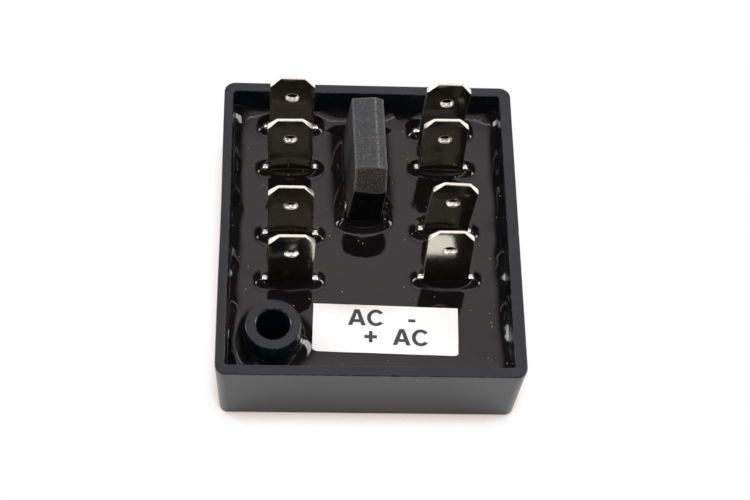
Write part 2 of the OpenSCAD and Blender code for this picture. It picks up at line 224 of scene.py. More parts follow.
def turned(name, profile, at, steps=96):
    """A closed solid of revolution from (radius, height) points, the first and last on the axis."""
    ring = profile[1:-1]
    verts = [(at[0], at[1], profile[0][1])]
    for r, z in ring:
        for k in range(steps):
            a = 2 * math.pi * k / steps
            verts.append((at[0] + r * math.cos(a), at[1] + r * math.sin(a), z))
    verts.append((at[0], at[1], profile[-1][1]))
    last = len(verts) - 1
    end = 1 + (len(ring) - 1) * steps
    faces = []
    for k in range(steps):
        n = (k + 1) % steps
        faces.append((0, 1 + n, 1 + k))
        for j in range(len(ring) - 1):
            a, b = 1 + j * steps, 1 + (j + 1) * steps
            faces.append((a + k, a + n, b + n, b + k))
        faces.append((last, end + k, end + n))
    obj = blank(name, verts, faces)
    tidy_normals(obj)
    return obj


def soft_flats(obj, angle=35):
    """Smooth shading in which large flat faces stay flat and slots meet in a crease."""
    m = obj.modifiers.new("normals", "WEIGHTED_NORMAL")
    m.weight, m.keep_sharp = 60, True
    bm = bmesh.new()
    bm.from_mesh(obj.data)
    for e in bm.edges:
        if len(e.link_faces) == 2:
            p, q = e.link_faces
            e.smooth = e.calc_face_angle(0) < math.radians(angle) and p.material_index == q.material_index
    for f in bm.faces:
        f.smooth = True
    bm.to_mesh(obj.data)
    bm.free()


def dress(obj, node):
    """Puts a piece on the only body; if a CAD node is given, the piece stands for it and the node is hidden.
    """
    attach(obj, "root")
    if node:
        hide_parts(node)


# ---------------------------------------------------------------- materials


def rgb(r, g, b):
    return (r, g, b, 1.0)


class Graph:
    """A short way to write shader nodes. A value is a number, a vector or another node's socket."""

    def __init__(self, tree):
        self.tree = tree

    def add(self, kind):
        return self.tree.nodes.new(kind)

    def link(self, socket, value):
        if isinstance(value, bpy.types.NodeSocket):
            self.tree.links.new(value, socket)
        else:
            socket.default_value = value

    def math(self, operation, a, b=0.0):
        n = self.add("ShaderNodeMath")
        n.operation = operation
        self.link(n.inputs[0], a)
        self.link(n.inputs[1], b)
        return n.outputs[0]

    def span(self, value, low, high, to_low=0.0, to_high=1.0, curve="LINEAR"):
        """Maps low..high to to_low..to_high and holds the ends outside them."""
        n = self.add("ShaderNodeMapRange")
        n.interpolation_type = curve
        for socket, v in zip(n.inputs, (value, low, high, to_low, to_high)):
            self.link(socket, v)
        return n.outputs[0]

    def mix(self, factor, a, b):
        n = self.add("ShaderNodeMix")
        n.data_type = "RGBA"
        self.link(n.inputs["Factor"], factor)
        self.link(n.inputs[6], a)
        self.link(n.inputs[7], b)
        return n.outputs[2]


class Material(Graph):
    """A procedural material. Positions in it are in millimetres."""

    def __init__(self, name):
        self.mat = bpy.data.materials.new(name)
        self.mat.use_nodes = True
        super().__init__(self.mat.node_tree)
        self.bsdf = self.tree.nodes["Principled BSDF"]
        coord = self.add("ShaderNodeTexCoord")
        scale = self.add("ShaderNodeVectorMath")
        scale.operation = "SCALE"
        self.link(scale.inputs[0], coord.outputs["Object"])
        self.link(scale.inputs["Scale"], 1 / MM)
        self.mm = scale.outputs["Vector"]

    def set(self, name, value):
        self.link(self.bsdf.inputs[name], value)

    def vector(self, operation, a, b):
        n = self.add("ShaderNodeVectorMath")
        n.operation = operation
        self.link(n.inputs[0], a)
        self.link(n.inputs[1], b)
        return n.outputs["Value" if operation == "DOT_PRODUCT" else "Vector"]

    def noise(self, scale, detail, rough, stretch=(1, 1, 1), shift=(0, 0, 0), warp=0.0):
        n = self.add("ShaderNodeTexNoise")
        at = self.vector("MULTIPLY", self.mm, stretch)
        self.link(n.inputs["Vector"], self.vector("ADD", at, shift))
        self.link(n.inputs["Scale"], scale)
        self.link(n.inputs["Detail"], detail)
        self.link(n.inputs["Roughness"], rough)
        self.link(n.inputs["Distortion"], warp)
        return n.outputs["Fac"]

    def cells(self, scale, shift):
        """Distance from the middle of the nearest cell."""
        n = self.add("ShaderNodeTexVoronoi")
        self.link(n.inputs["Vector"], self.vector("ADD", self.mm, shift))
        self.link(n.inputs["Scale"], scale)
        return n.outputs["Distance"]

    def wave(self, scale, direction, distortion):
        n = self.add("ShaderNodeTexWave")
        n.bands_direction = direction
        self.link(n.inputs["Vector"], self.mm)
        self.link(n.inputs["Scale"], scale)
        self.link(n.inputs["Distortion"], distortion)
        return n.outputs["Fac"]

    def attribute(self, name):
        n = self.add("ShaderNodeAttribute")
        n.attribute_name = name
        return n.outputs["Fac"]

    def height(self):
        n = self.add("ShaderNodeSeparateXYZ")
        self.link(n.inputs[0], self.mm)
        return n.outputs["Z"]

    def bump(self, height, microns, normal=None):
        n = self.add("ShaderNodeBump")
        self.link(n.inputs["Height"], height)
        self.link(n.inputs["Strength"], 1.0)
        self.link(n.inputs["Distance"], microns * 1e-6)
        if normal is not None:
            self.link(n.inputs["Normal"], normal)
        return n.outputs["Normal"]


def tray_material():
    """Satin black plastic with a fine grain, a few pale specks and a rubbed rim."""
    n = Material("tray_black_plastic")
    cloud = n.noise(0.22, 4, 0.6)
    base = n.mix(n.span(cloud, 0.35, 0.65), rgb(0.0048, 0.0072, 0.0108), rgb(0.0068, 0.0092, 0.0132))
    specks = n.span(n.cells(2.1, (3, 7, 1)), 0.05, 0.1, 1, 0)
    kept = n.span(n.noise(1.1, 2, 0.5, shift=(9, 2, 4)), 0.58, 0.66)
    base = n.mix(n.math("MULTIPLY", specks, kept), base, rgb(0.10, 0.095, 0.09))
    z = n.height()
    from_below = n.span(z, RIM_Z - 0.14, RIM_Z - 0.06)
    to_flat = n.span(z, RIM_Z - 0.02, RIM_Z - 0.004, 1, 0)
    rim_edge = n.math("MULTIPLY", from_below, to_flat)
    rubbed = n.math("MULTIPLY", rim_edge, n.span(n.noise(1.2, 4, 0.65), 0.5, 0.62))
    n.set("Base Color", n.mix(rubbed, base, rgb(0.05, 0.05, 0.055)))
    n.set("Roughness", n.span(n.noise(0.7, 3, 0.5, shift=(2, 2, 8)), 0.3, 0.7, 0.22, 0.27))
    n.set("IOR", 1.5)
    grain = n.bump(n.noise(9, 3, 0.6), 0.9)
    n.set("Normal", n.bump(n.noise(28, 2, 0.6, shift=(5, 1, 2)), 0.7, grain))
    return n.mat


def resin_material():
    """Glossy black resin with hazy patches and specks of dust."""
    n = Material("black_potting_resin")
    tone = n.mix(n.noise(0.45, 4, 0.55), rgb(0.0035, 0.003, 0.0032), rgb(0.006, 0.005, 0.0052))
    specks = n.span(n.cells(0.9, (1, 2, 3)), 0.06, 0.1, 1, 0)
    dust = n.math("MULTIPLY", specks, n.span(n.noise(0.5, 2, 0.5, shift=(8, 3, 1)), 0.46, 0.56))
    n.set("Base Color", n.mix(dust, tone, rgb(0.34, 0.27, 0.18)))
    haze = n.noise(0.9, 5, 0.6, shift=(4, 4, 0), warp=0.6)
    n.set("Roughness", n.span(haze, 0.42, 0.72, 0.035, 0.12))
    n.set("IOR", 1.5)
    n.set("Normal", n.bump(dust, 6, n.bump(n.noise(0.55, 3, 0.5), 16)))
    return n.mat


def tin_material(name, dark, light, roughness, scratch_depth):
    """Tin plate with stains, brushing along the blade and fine scratches."""
    n = Material(name)
    cloud = n.noise(0.6, 4, 0.6, warp=0.8)
    stain = n.span(n.noise(1.4, 5, 0.7, shift=(3, 3, 3)), 0.58, 0.74)
    tone = n.mix(cloud, dark, light)
    n.set("Base Color", n.mix(n.math("MULTIPLY", stain, 0.5), tone, rgb(0.45, 0.385, 0.31)))
    n.set("Metallic", 1.0)
    brushed = n.noise(7, 3, 0.6, stretch=(1, 1, 0.08))
    worn = n.math("ADD", brushed, n.math("MULTIPLY", cloud, 0.6))
    n.set("Roughness", n.span(worn, 0.5, 1.1, *roughness))
    scratch = n.noise(12, 2, 0.6, stretch=(1, 1, 0.05), shift=(7, 0, 0))
    n.set("Normal", n.bump(scratch, scratch_depth, n.bump(n.noise(0.8, 2, 0.5), 4)))
    return n.mat


def bridge_material():
    """Moulded epoxy: dry and gritty, brown where its corner is cut, and wet with resin in front."""
    n = Material("bridge_moulded_epoxy")
    a = math.radians(BRIDGE_TURN)
    from_middle = n.vector("SUBTRACT", n.mm, (*BRIDGE_AT, 0))
    ahead = n.vector("DOT_PRODUCT", from_middle, (math.sin(a), -math.cos(a), 0))
    cloud = n.noise(0.5, 4, 0.6)
    base = n.mix(cloud, rgb(0.019, 0.0195, 0.022), rgb(0.033, 0.033, 0.037))
    brown = n.mix(cloud, rgb(0.011, 0.0098, 0.0088), rgb(0.018, 0.0162, 0.0145))
    base = n.mix(n.span(ahead, BRIDGE_CUT_AT - 0.05, BRIDGE_CUT_AT + 0.1), base, brown)
    specks = n.span(n.cells(5.0, (2, 5, 1)), 0.2, 0.36, 1, 0)
    kept = n.span(n.noise(6.5, 2, 0.6, shift=(6, 1, 1)), 0.5, 0.6)
    base = n.mix(n.math("MULTIPLY", specks, kept), base, rgb(0.27, 0.265, 0.225))
    rubbed = n.math("MULTIPLY", n.attribute("edge"), n.span(n.noise(3.5, 4, 0.7), 0.38, 0.55))
    base = n.mix(n.math("MULTIPLY", rubbed, 0.6), base, rgb(0.13, 0.13, 0.13))
    crumbs = n.span(n.noise(5, 3, 0.8, shift=(1, 1, 9)), 0.5, 0.6)
    base = n.mix(n.math("MULTIPLY", n.attribute("seam"), crumbs), base, rgb(0.31, 0.29, 0.22))
    wet = n.span(ahead, BRIDGE_SIZE[1] / 2 - 0.22, BRIDGE_SIZE[1] / 2)
    n.set("Base Color", n.mix(wet, base, rgb(0.0035, 0.0035, 0.004)))
    dry_roughness = n.span(n.noise(2.2, 3, 0.6), 0.3, 0.7, 0.42, 0.6)
    n.set("Roughness", n.span(wet, 0, 1, dry_roughness, 0.1))
    n.set("IOR", 1.5)
    dry = n.span(wet, 0, 1, 1, 0.1)
    pits = n.bump(n.math("MULTIPLY", n.noise(6, 3, 0.6), dry), 26)
    n.set("Normal", n.bump(n.math("MULTIPLY", n.noise(22, 3, 0.7), dry), 14, pits))
    return n.mat


def label_material():
    n = Material("label_white_film")
    n.set("Base Color", n.mix(n.noise(0.5, 4, 0.6), rgb(0.87, 0.87, 0.865), rgb(0.91, 0.91, 0.905)))
    n.set("Roughness", n.span(n.noise(3, 3, 0.6), 0.3, 0.7, 0.45, 0.6))
    n.set("IOR", 1.45)
    n.set("Normal", n.bump(n.noise(14, 3, 0.6), 3, n.bump(n.noise(1.0, 2, 0.5), 12)))
    return n.mat


def ink_material():
    n = Material("label_black_ink")
    n.set("Base Color", n.mix(n.noise(5, 4, 0.7), rgb(0.028, 0.028, 0.03), rgb(0.06, 0.06, 0.062)))
    n.set("Roughness", n.span(n.noise(8, 3, 0.6), 0.3, 0.7, 0.45, 0.65))
    n.set("IOR", 1.45)
    n.set("Normal", n.bump(n.noise(16, 3, 0.6), 3))
    return n.mat


def board_material():
    n = Material("board_green_laminate")
    weave = n.math("MULTIPLY", n.wave(1.4, "X", 0.4), n.wave(1.4, "Y", 0.4))
    n.set("Base Color", n.mix(weave, rgb(0.02, 0.09, 0.04), rgb(0.035, 0.14, 0.06)))
    n.set("Roughness", n.span(n.noise(2, 3, 0.6), 0.3, 0.7, 0.3, 0.45))
    n.set("Normal", n.bump(weave, 10))
    return n.mat


def metal_material(name, dark, light, scale):
    n = Material(name)
    cloud = n.noise(scale, 4, 0.6, warp=0.5)
    n.set("Base Color", n.mix(cloud, dark, light))
    n.set("Metallic", 1.0)
    n.set("Roughness", n.span(cloud, 0.3, 0.7, 0.2, 0.42))
    n.set("Normal", n.bump(n.noise(scale * 4, 3, 0.6), 8))
    return n.mat


TRAY = tray_material()
RESIN = resin_material()
TIN = tin_material("terminal_tin_plate", rgb(0.64, 0.615, 0.52), rgb(0.70, 0.68, 0.585), (0.11, 0.16), 0.8)
# Cut edges: a rougher tin of their own, painted far lighter than the tin plate so that they show bright;
# partly a painted highlight.
CUT_EDGE_PAINTED_BRIGHT = tin_material("terminal_cut_edge_painted_bright", rgb(0.95, 0.895, 0.79), rgb(0.99, 0.95, 0.87), (0.22, 0.34), 2.5)
EPOXY = bridge_material()
FILM = label_material()
INK = ink_material()
BOARD = board_material()
COPPER = metal_material("track_copper", rgb(0.72, 0.36, 0.2), rgb(0.85, 0.48, 0.3), 2)
SOLDER = metal_material("joint_solder", rgb(0.62, 0.62, 0.63), rgb(0.75, 0.75, 0.76), 3)
LEAD = metal_material("lead_tinned_wire", rgb(0.7, 0.68, 0.64), rgb(0.8, 0.79, 0.76), 4)


# ---------------------------------------------------------------- tray


def rounded_ring(half_x, half_y, radius, z, corner=10, side=36):
    """Points round a rounded rectangle, always the same number and in the same order."""
    pts = []
    for q, (sx, sy) in enumerate(((1, 1), (-1, 1), (-1, -1), (1, -1))):
        cx, cy = sx * (half_x - radius), sy * (half_y - radius)
        for k in range(corner + 1):
            a = math.pi / 2 * (q + k / corner)
            pts.append((cx + radius * math.cos(a), cy + radius * math.sin(a), z))
        nx, ny = ((-1, 1), (-1, -1), (1, -1), (1, 1))[q]
        a = math.pi / 2 * (q + 1)
        end_x = nx * (half_x - radius) + radius * math.cos(a)
        end_y = ny * (half_y - radius) + radius * math.sin(a)
        start_x, start_y, _ = pts[-1]
        for k in range(1, side):
            f = k / side
            pts.append((start_x + (end_x - start_x) * f, start_y + (end_y - start_y) * f, z))
    return pts


def tray_profile():
    """(inset from the rim's outer side, height, is inside) from the underside to the cavity's floor."""
    foot = DRAFT * (1 - FOOT_R / RIM_Z)
    top = RIM_Z - RIM_EDGE_R
    out = [(foot + FOOT_R - x, z, False) for x, z in arc(0, FOOT_R, FOOT_R, -90, 0, 7)]
    for k in range(1, 14):
        z = FOOT_R + (top - FOOT_R) * k / 14
        out.append((DRAFT * (1 - z / RIM_Z), z, False))
    out += [(RIM_EDGE_R - x, z, False) for x, z in arc(0, top, RIM_EDGE_R, 0, 90, 4)]
    out += [(WALL - RIM_EDGE_R + x, z, True) for x, z in arc(0, top, RIM_EDGE_R, 90, 0, 4)]
    for k in range(1, 10):
        z = top - (top - FLOOR) * k / 9
        lean = CAVITY_DRAFT * (RIM_Z - z) / (RIM_Z - FLOOR)
        out.append((WALL + lean, z, True))
    return out


def settled(v, within):
    """The tray as it cooled: the cavity a little off the middle, the left and the back wall sunk."""
    lift = np.clip(v[:, 2] / RIM_Z, 0, 1) ** 1.5
    v[:, 0] -= within * lift * CAVITY_SHIFT
    left = np.clip((-v[:, 0] - RIM_X + 2.2) / 0.6, 0, 1)
    v[:, 0] += left * lift * LEFT_SINK * np.exp(-(((v[:, 1] - LEFT_SINK_Y) / LEFT_SINK_REACH) ** 2))
    back = np.where(v[:, 1] > RIM_Y - 2, -BACK_SINK, 0)
    v[:, 1] += back * lift * np.cos(v[:, 0] / RIM_X * 1.5)
    return v


def screw_tube():
    top = RIM_Z - TUBE_EDGE_R
    profile = [(0, FLOOR - 0.6), (TUBE_FOOT_R, FLOOR - 0.6), (TUBE_FOOT_R, FLOOR)]
    profile += [(TUBE_R - TUBE_EDGE_R + x, z) for x, z in arc(0, top, TUBE_EDGE_R, 0, 90, 5)]
    profile.append((0, RIM_Z))
    return turned("tube", profile, TUBE_AT)


def screw_hole():
    """The bore as a cutter, with a chamfer below and a rounded mouth above."""
    mouth_r, mouth_z = HOLE_R + HOLE_EDGE_R, RIM_Z - HOLE_EDGE_R
    profile = [(0, -1), (mouth_r, -1), (mouth_r, -0.05)]
    profile += [(HOLE_R, 0.25), (HOLE_R, mouth_z)]
    profile += [(mouth_r - x, z) for x, z in arc(0, mouth_z, HOLE_EDGE_R, 0, 90, 5)][1:]
    profile += [(mouth_r, RIM_Z + 1), (0, RIM_Z + 1)]
    return turned("bore", profile, TUBE_AT)


def nick(at, size):
    """A small ball, stretched, that dents the rim."""
    ball = turned("dent", [(0, -1), *arc(0, 0, 1, -70, 70, 6), (0, 1)], (0, 0), 16)
    for v in ball.data.vertices:
        v.co = Vector(((v.co[i] / MM * size[i] + at[i]) * MM for i in range(3)))
    return ball


def tray():
    """Rings from the underside up to the rim and down the cavity, then the tube and its bore."""
    verts, rings, within = [], [], []
    for inset, z, inside in tray_profile():
        radius = CAVITY_R + CAVITY_DRAFT - (inset - WALL) if inside else CORNER_R - inset
        ring = rounded_ring(RIM_X - inset, RIM_Y - inset, max(radius, SMALLEST_CORNER_R), z)
        rings.append(range(len(verts), len(verts) + len(ring)))
        verts += ring
        within += [inside] * len(ring)
    count = len(rings[0])
    faces = []
    for a, b in zip(rings, rings[1:]):
        for k in range(count):
            n = (k + 1) % count
            faces.append((a[k], a[n], b[n], b[k]))
    faces.append(tuple(reversed(rings[0])))
    faces.append(tuple(rings[-1]))
    obj = blank("tray_shell", settled(np.array(verts), np.array(within)), faces, [TRAY])
    tidy_normals(obj)
    cut(obj, screw_tube(), "UNION")
    cut(obj, screw_hole(), "DIFFERENCE")
    for at, size in NICKS:
        cut(obj, nick(at, size), "DIFFERENCE")
    soft_flats(obj)
    dress(obj, "case")


# ---------------------------------------------------------------- resin

# Slow waves of the resin's surface: height, size and seed
WAVES = ((0.03, 6.5, 3), (0.014, 2.9, 5))
# How high the resin is drawn up, and over what distance that fades
TUBE_RISE, TUBE_REACH = 1.2, 1.0
CORNER_RISE, CORNER_REACH = 1.1, 2.2
BRIDGE_RISE, BRIDGE_REACH = 1.0, 1.0
BLADE_RISE, BLADE_REACH = 0.16, 0.2
BACK_WALL_END = 4.0
# The crest round each blade: the half axes of its ellipse, its height, and what its ends add
CREST_RX, CREST_RY = 4.1, 1.4
CREST_H, CREST_ENDS = 0.15, 0.2
CREST_OUTSIDE = 0.6
# The crest round the front of the bridge, and the hollow ahead of it
FRONT_HALF = 2.8
FRONT_GAP, FRONT_BOW = 1.15, 0.7
FRONT_H, FRONT_ENDS = 0.2, 0.6
FRONT_OUTSIDE = 0.7
HOLLOW_H, HOLLOW_RIGHT, HOLLOW_AHEAD = 0.24, 0.3, 3.6
HOLLOW_R = (3.0, 2.2)
# How steep a crest is on its inner side, and how softly neighbouring rises run together
CREST_INSIDE = 0.45
BLEND = 1.7
# The grid of the surface, and how far the resin reaches into the walls and into the tube
RESIN_STEP = 0.16
WALL_OVERLAP = 0.12
TUBE_OVERLAP = 0.7
TUBE_LEAN = 0.08


def turned_place(x, y, cx, cy, turn):
    """Places relative to a centre, along and across a turned axis."""
    a = math.radians(turn)
    u = (x - cx) * math.cos(a) + (y - cy) * math.sin(a)
    v = -(x - cx) * math.sin(a) + (y - cy) * math.cos(a)
    return u, v


def beside_box(x, y, cx, cy, w, d, turn):
    """Distance outside a turned rectangle, and the place along its first side."""
    u, v = turned_place(x, y, cx, cy, turn)
    du, dv = np.abs(u) - w / 2, np.abs(v) - d / 2
    return np.hypot(np.maximum(du, 0), np.maximum(dv, 0)) + np.minimum(np.maximum(du, dv), 0), u


def beside_ellipse(x, y, cx, cy, rx, ry, turn):
    """Rough distance outside a turned ellipse, which is negative inside it."""
    u, v = turned_place(x, y, cx, cy, turn)
    u, v = u / rx, v / ry
    q = np.maximum(np.hypot(u, v), 1e-3)
    return (q - 1) * q / np.maximum(np.hypot(u / rx, v / ry), 1e-3)


def fade(distance, reach):
    return np.exp(-np.maximum(distance, 0) / reach)


def crest(off, outside):
    """A low ridge, steep towards the metal and gentle on its outside."""
    return np.exp(-((off / np.where(off > 0, outside, CREST_INSIDE)) ** 2))


def eased(t):
    t = np.clip(t, 0, 1)
    return t * t * (3 - 2 * t)


def wavy(along, size, seed):
    """Smooth random values from -1 to 1 along a line."""
    return lattice(along, 0 * along, size, seed)


def rises_at_walls(x, y):
    """The resin's rise at the cavity's four walls, each wavy in its own way, and in two corners."""
    lean = CAVITY_DRAFT * (RIM_Z - RESIN_Z) / (RIM_Z - FLOOR)
    inner_x, inner_y = RIM_X - WALL - lean, RIM_Y - WALL - lean
    # The back wall's rise has no reach: it is a curve that ends
    for distance, along, seed, height, reach in (
        (inner_x - x, y, 11, 0.75, 0.95),
        (inner_x + x, y, 12, 0.75, 0.95),
        (inner_y - y, x, 13, 0.62, None),
        (inner_y + y, x, 14, 0.7, 0.9),
    ):
        height = height * (1 + 0.36 * wavy(along, 4.6, seed) + 0.06 * wavy(along, 1.9, seed + 20))
        if reach:
            yield height * fade(distance, reach * (1 + 0.3 * wavy(along, 3.3, seed + 40)))
        else:
            yield height * np.clip(1 - distance / BACK_WALL_END, 0, 1) ** 2
    for side in (-1, 1):
        to_corner = np.hypot(inner_x - side * x, inner_y - y)
        yield CORNER_RISE * np.exp(-to_corner / CORNER_REACH)


def swell_at_blades(x, y):
    """The crest that rings each blade, highest at its two edges, and the short rise at its faces."""
    swell = 0
    for cx, cy, pitch, rear, front in TERMINALS.values():
        for side, (_, _, turn) in ((1, rear), (-1, front)):
            at = cx, cy + side * pitch / 2
            distance, u = beside_box(x, y, *at, SHOULDER_W, BLADE_T, turn)
            off = beside_ellipse(x, y, *at, CREST_RX, CREST_RY, turn)
            height = CREST_H + CREST_ENDS * np.clip(np.abs(u) / CREST_RX, 0, 1) ** 4
            swell = swell + height * crest(off, CREST_OUTSIDE) + BLADE_RISE * fade(distance, BLADE_REACH)
    return swell


def at_bridge(x, y):
    """The rise along the bridge, and the swell at its front: a crest with a hollow ahead of it.

    Over the front 2 mm of the bridge the rise gives way to the crest.
    """
    shift = (RESIN_Z - BRIDGE_FOOT_Z) * math.tan(math.radians(BRIDGE_LEAN))
    distance, u = beside_box(x, y, BRIDGE_AT[0] + shift, BRIDGE_AT[1], *BRIDGE_SIZE, BRIDGE_TURN)
    ahead = BRIDGE_AT[1] - BRIDGE_SIZE[1] / 2 - y
    rise = BRIDGE_RISE * (1 - 0.75 * eased((ahead + 2.4) / 2.8)) * fade(distance, BRIDGE_REACH)
    to_side = np.clip(np.abs(u) / FRONT_HALF, 0, 1)
    off = distance - FRONT_GAP + FRONT_BOW * to_side**2
    height = FRONT_H + FRONT_ENDS * to_side**3
    swell = eased((ahead + 2.2) / 2.6) * height * crest(off, FRONT_OUTSIDE)
    across = (x - BRIDGE_AT[0] - HOLLOW_RIGHT) / HOLLOW_R[0]
    along = (ahead - HOLLOW_AHEAD) / HOLLOW_R[1]
    return rise, swell - HOLLOW_H * np.exp(-(across**2) - along**2)


def resin_height(x, y):
    """Height of the cured resin: level with slow waves, drawn up at everything it touches."""
    waves = sum(height * lattice(x, y, size, seed) for height, size, seed in WAVES)
    from_tube = np.hypot(x - TUBE_AT[0], y - TUBE_AT[1]) - TUBE_R - TUBE_LEAN
    bridge_rise, bridge_swell = at_bridge(x, y)
    rises = [*rises_at_walls(x, y), TUBE_RISE * fade(from_tube, TUBE_REACH), bridge_rise]
    drawn_up = sum(rise**BLEND for rise in rises) ** (1 / BLEND)
    return RESIN_Z + waves + swell_at_blades(x, y) + bridge_swell + drawn_up


def resin():
    """A height field over the cavity, open at the tube, with skirts down to a flat underside."""
    half_x, half_y = (half - WALL + WALL_OVERLAP for half in (RIM_X, RIM_Y))
    nx, ny = round(2 * half_x / RESIN_STEP), round(2 * half_y / RESIN_STEP)
    x, y = np.meshgrid(np.linspace(-half_x, half_x, nx + 1), np.linspace(-half_y, half_y, ny + 1))
    keep = np.hypot(x - TUBE_AT[0], y - TUBE_AT[1]) > TUBE_R - TUBE_OVERLAP
    index = np.full(x.shape, -1)
    index[keep] = np.arange(keep.sum())
    verts = np.stack([x[keep], y[keep], resin_height(x, y)[keep]], 1)
    quad = keep[:-1, :-1] & keep[:-1, 1:] & keep[1:, :-1] & keep[1:, 1:]
    a, b = index[:-1, :-1][quad], index[:-1, 1:][quad]
    c, d = index[1:, 1:][quad], index[1:, :-1][quad]
    obj = blank("potting_resin_fill", verts, np.stack([a, b, c, d], 1).tolist(), [RESIN])
    bm = bmesh.new()
    bm.from_mesh(obj.data)
    bmesh.ops.delete(bm, geom=[v for v in bm.verts if not v.link_faces], context="VERTS")
    border = [e for e in bm.edges if e.is_boundary]
    made = bmesh.ops.extrude_edge_only(bm, edges=border)["geom"]
    for v in made:
        if isinstance(v, bmesh.types.BMVert):
            v.co.z = FLOOR * MM
    edges = [g for g in made if isinstance(g, bmesh.types.BMEdge)]
    filled = bmesh.ops.triangle_fill(bm, use_beauty=True, use_dissolve=False, edges=edges)["geom"]
    for f in filled:
        if isinstance(f, bmesh.types.BMFace):
            f.smooth = False
    bmesh.ops.recalc_face_normals(bm, faces=bm.faces)
    for e in bm.edges:
        if len(e.link_faces) == 2 and e.calc_face_angle(0) > 1.2:
            e.smooth = False
    in_order(bm)
    bm.to_mesh(obj.data)
    bm.free()
    dress(obj, "potting_resin")


# ---------------------------------------------------------------- terminals


def rounded_outline(points, radii, steps=4):
    """A polygon with each corner turned into an arc of the given radius."""
    out = []
    count = len(points)
    for i, (p, r) in enumerate(zip(points, radii)):
        p, a, b = (np.array(q, float) for q in (p, points[i - 1], points[(i + 1) % count]))
        if r == 0:
            out.append(tuple(p))
            continue
        da, db = (a - p) / np.linalg.norm(a - p), (b - p) / np.linalg.norm(b - p)
        half = math.acos(np.clip(da @ db, -1, 1)) / 2
        reach = r / math.tan(half)
        mid = (da + db) / np.linalg.norm(da + db)
        centre = p + mid * r / math.sin(half)
        p0, p1 = p + da * reach, p + db * reach
        a0, a1 = (math.atan2(*(q - centre)[::-1]) for q in (p0, p1))
        turn = (a1 - a0 + math.pi) % (2 * math.pi) - math.pi
        for k in range(steps + 1):
            t = a0 + turn * k / steps
            out.append((centre[0] + r * math.cos(t), centre[1] + r * math.sin(t)))
    return out


def split_at(points, level):
    """Adds a point wherever the outline crosses a height."""
    out = []
    for p, q in zip(points, points[1:] + points[:1]):
        out.append(p)
        if (p[1] - level) * (q[1] - level) < 0:
            t = (level - p[1]) / (q[1] - p[1])
            out.append((p[0] + (q[0] - p[0]) * t, level))
    return out


def inset(points, amount):
    """An outline drawn in by a distance."""
    pts = [np.array(p, float) for p in points]
    out = []
    for i, p in enumerate(pts):
        a, b = pts[i - 1], pts[(i + 1) % len(pts)]
        na = np.array([-(p - a)[1], (p - a)[0]]) / (np.linalg.norm(p - a) + 1e-12)
        nb = np.array([-(b - p)[1], (b - p)[0]]) / (np.linalg.norm(b - p) + 1e-12)
        mid = na + nb
        out.append(p + mid * amount / max(mid @ na, 0.2))
    return out


def loft(bm, loops, flip=False):
    """Quads that join closed loops of as many points each."""
    made = []
    for a, b in zip(loops, loops[1:]):
        for k in range(len(a)):
            n = (k + 1) % len(a)
            p, q = (n, k) if flip else (k, n)
            made.append(bm.faces.new((a[p], a[q], b[q], b[p])))
    return made


def loop_edges(bm, loop):
    """The edges round a closed loop of vertices, made where they are missing."""
    return [bm.edges.get(pair) or bm.edges.new(pair) for pair in zip(loop, loop[1:] + loop[:1])]


def both_sides(rings):
    """Rings of one side from the face outwards, then those of the other side back to its face."""
    return [rings[1, 2], rings[1, 1], rings[1, 0], rings[-1, 0], rings[-1, 1], rings[-1, 2]]


def blade(bm, place):
    """One blade: outline, rounded edges, faces, coined tip and detent hole."""
    half, shoulder = BLADE_W / 2, SHOULDER_W / 2
    right = [
        (shoulder, -BLADE_ROOT),
        (shoulder, SHOULDER_TOP),
        (half, SHOULDER_TOP),
        (half, BLADE_TOP - TIP_CUT[1]),
        (half - TIP_CUT[0], BLADE_TOP),
    ]
    radii = [0, 0.22, 0.25, 0.3, 0.22]
    points = right + [(-x, z) for x, z in reversed(right)]
    coin = BLADE_TOP - COIN_H
    outline = split_at(rounded_outline(points, radii + radii[::-1]), coin)
    r = BLADE_EDGE_R

    def depth(z):
        return BLADE_T / 2 - (BLADE_T - TIP_T) / 2 * min(max((z - coin) / COIN_H, 0), 1)

    rings = {}
    for side in (1, -1):
        for level, (inward, down) in enumerate(((0, r), (0.3 * r, 0.3 * r), (r, 0))):
            ring = inset(outline, inward) if inward else outline
            rings[side, level] = [
                bm.verts.new(place @ Vector((x, -side * (depth(z) - down), z))) for x, z in ring
            ]
    edge_faces = loft(bm, both_sides(rings))
    steps, hole_z = 32, BLADE_TOP - DETENT_DROP
    turns = [2 * math.pi * k / steps for k in range(steps)]
    hole = {}
    for side in (1, -1):
        for level, (wider, down) in enumerate(((0, 0.1), (0.03, 0.03), (0.1, 0))):
            hole_r, y = DETENT_R + wider, -side * (BLADE_T / 2 - down)
            hole[side, level] = [
                bm.verts.new(place @ Vector((hole_r * math.cos(a), y, hole_z + hole_r * math.sin(a))))
                for a in turns
            ]
    edge_faces += loft(bm, both_sides(hole), flip=True)
    # The edge faces take the cut-edge material, which is painted lighter as a highlight.
    for f in edge_faces:
        f.material_index = 1
    crossings = [i for i, (x, z) in enumerate(outline) if abs(z - coin) < 1e-9]
    first, last = min(crossings), max(crossings)
    for side in (1, -1):
        ring = rings[side, 2]
        tip = loop_edges(bm, ring[first : last + 1])
        body = loop_edges(bm, ring[last:] + ring[: first + 1]) + loop_edges(bm, hole[side, 2])
        for edges in (tip, body):
            bmesh.ops.triangle_fill(bm, use_beauty=True, use_dissolve=False, edges=edges)


def slab(bm, low, high, place):
    spans = list(zip(low, high))
    corners = [Vector((x, y, z)) for x in spans[0] for y in spans[1] for z in spans[2]]
    v = [bm.verts.new(place @ c) for c in corners]
    for f in ((0, 1, 3, 2), (4, 6, 7, 5), (0, 4, 5, 1), (2, 3, 7, 6), (0, 2, 6, 4), (1, 5, 7, 3)):
        bm.faces.new([v[i] for i in f])


